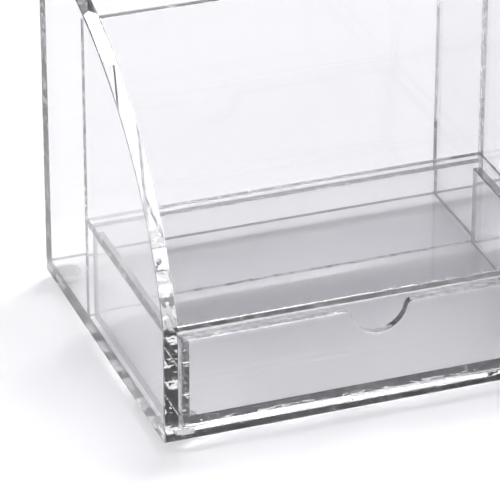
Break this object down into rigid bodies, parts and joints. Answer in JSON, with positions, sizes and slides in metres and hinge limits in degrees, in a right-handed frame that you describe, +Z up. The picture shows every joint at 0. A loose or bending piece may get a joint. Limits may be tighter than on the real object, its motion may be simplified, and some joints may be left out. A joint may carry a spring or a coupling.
{
  "type": "desk organizer",
  "caption": "Clear sheet-plastic desk organizer with curved sides, a letter slot, a shelf over a sliding drawer and a stepped pen bay.",
  "frame": {"origin": "middle of the footprint, on the surface the organizer stands on", "axes": "+Z up, -Y towards the user (the front, where the drawer opens), +X to the user's right"},
  "size_m": [0.23, 0.1234, 0.1275],
  "materials": {
    "clear_sheet": "polished clear acrylic sheet with flame-polished edges",
    "clear_drawer": "polished clear acrylic sheet with flame-polished edges, lightly scuffed underneath",
    "clear_bumper": "clear soft self-adhesive bumper"
  },
  "bodies": {
    "organizer": {"base": "clear_sheet", "left_side": "clear_sheet", "right_side": "clear_sheet", "divider": "clear_sheet", "back_panel": "clear_sheet", "slot_wall_left": "clear_sheet", "slot_wall_right": "clear_sheet", "cover_shelf": "clear_sheet", "pen_bay_front": "clear_sheet", "pen_wall": "clear_sheet", "pen_divider": "clear_sheet", "foot_front_left": "clear_bumper", "foot_front_right": "clear_bumper", "foot_rear_left": "clear_bumper", "foot_rear_right": "clear_bumper"},
    "drawer": {"drawer_bottom": "clear_drawer", "drawer_front": "clear_drawer", "drawer_left_side": "clear_drawer", "drawer_right_side": "clear_drawer", "drawer_back": "clear_drawer"}
  },
  "joints": [
    {"name": "drawer_slide", "type": "slide", "parent": "organizer", "child": "drawer", "axis": [0, -1, 0], "range_m": [0, 0.055]}
  ]
}
